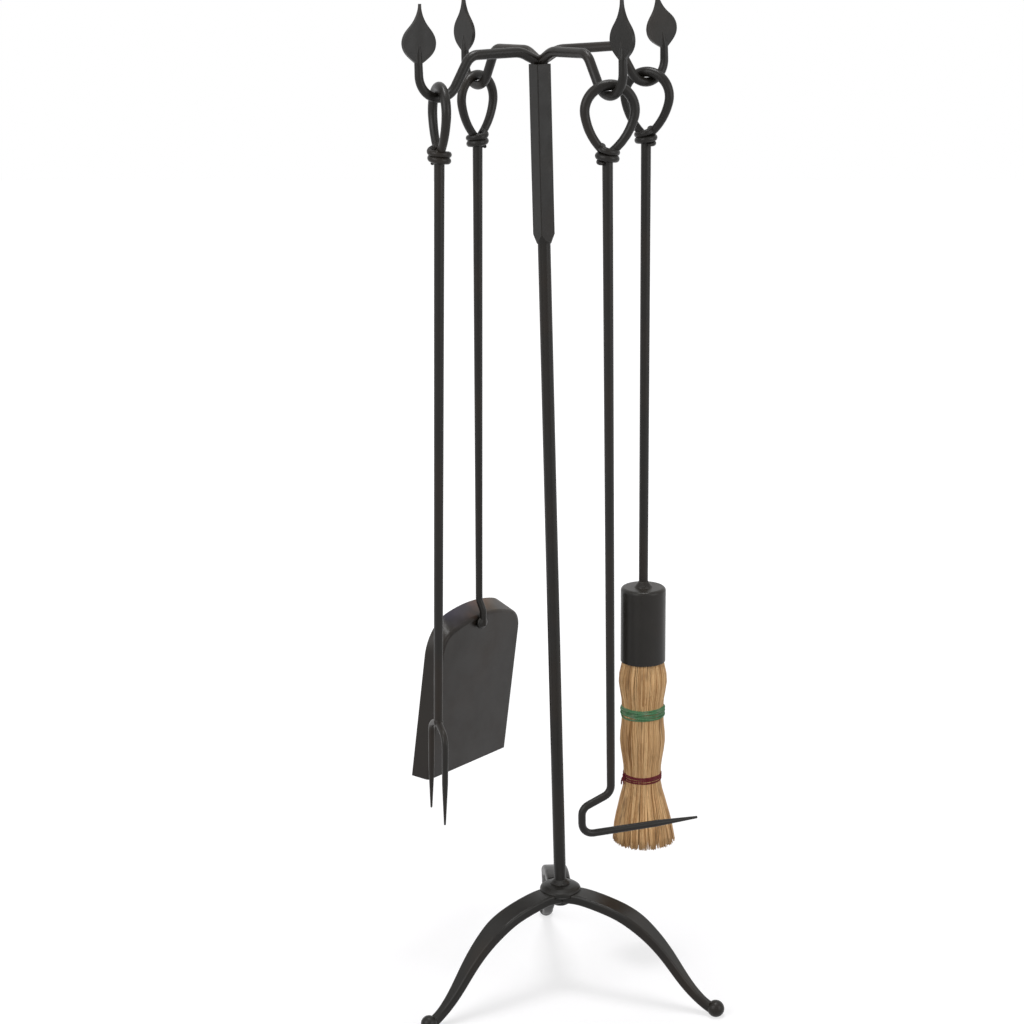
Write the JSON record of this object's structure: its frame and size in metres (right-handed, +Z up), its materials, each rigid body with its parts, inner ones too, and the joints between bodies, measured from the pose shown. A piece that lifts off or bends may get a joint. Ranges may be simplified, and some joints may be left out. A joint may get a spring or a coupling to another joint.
{
  "type": "fireplace tool set",
  "caption": "Forged tripod stand with leaf-tipped hooks that carry a log fork, an ash shovel, a poker and a corn broom by their eyes.",
  "frame": {"origin": "on the floor, at the centre of the circle through the three feet", "axes": "+Z up, +Y to the back of the set, +X to its right"},
  "size_m": [0.26, 0.2441, 0.8142],
  "materials": {
    "forged_steel": "forged steel bar, blackened and waxed, satin with faint brown tints",
    "pan_sheet": "blackened steel sheet, satin, heat tints along the back wall",
    "ferrule_tube": "blackened steel tube, satin",
    "weld_metal": "blackened weld bead, uneven and a little brighter",
    "binding_wire": "plain steel wire",
    "broom_corn": "dry broom corn straw",
    "green_twine": "twisted green twine, matt",
    "maroon_twine": "twisted maroon twine, matt"
  },
  "bodies": {
    "stand": {"leg_right": "forged_steel", "leg_back": "forged_steel", "leg_left": "forged_steel", "hub_disc": "forged_steel", "leg_root_weld": "weld_metal", "post": "forged_steel", "post_weld": "weld_metal", "crown_block": "forged_steel", "crown_weld": "weld_metal", "hook_fork": "forged_steel", "hook_shovel": "forged_steel", "hook_poker": "forged_steel", "hook_broom": "forged_steel"},
    "fork": {"fork_handle": "forged_steel", "fork_wrap": "forged_steel", "fork_tines": "forged_steel"},
    "shovel": {"shovel_handle": "forged_steel", "shovel_wrap": "forged_steel", "shovel_pan": "pan_sheet", "shovel_weld": "weld_metal"},
    "poker": {"poker_bar": "forged_steel", "poker_wrap": "forged_steel"},
    "broom": {"broom_handle": "forged_steel", "broom_wrap": "forged_steel", "broom_ferrule": "ferrule_tube", "broom_ferrule_weld": "weld_metal", "broom_inner_wire": "binding_wire", "broom_straw": "broom_corn", "broom_twine_green": "green_twine", "broom_twine_maroon": "maroon_twine"}
  },
  "joints": [
    {"name": "fork_swing", "type": "hinge", "parent": "stand", "child": "fork", "pos_m": [-0.09295, -0.05049, 0.74957], "axis": [-0.3255, 0.9455, 0.0043], "range_deg": [-3, 60]},
    {"name": "shovel_swing", "type": "hinge", "parent": "stand", "child": "shovel", "pos_m": [-0.06965, 0.07435, 0.75017], "axis": [0.6428, 0.766, -0.0022], "range_deg": [-3, 60]},
    {"name": "poker_swing", "type": "hinge", "parent": "stand", "child": "poker", "pos_m": [0.03231, -0.07518, 0.75277], "axis": [-0.9847, -0.1736, -0.0129], "range_deg": [-3, 60]},
    {"name": "broom_swing", "type": "hinge", "parent": "stand", "child": "broom", "pos_m": [0.06405, 0.05663, 0.75357], "axis": [0.9205, -0.3907, 0.0056], "range_deg": [-3, 60]}
  ]
}
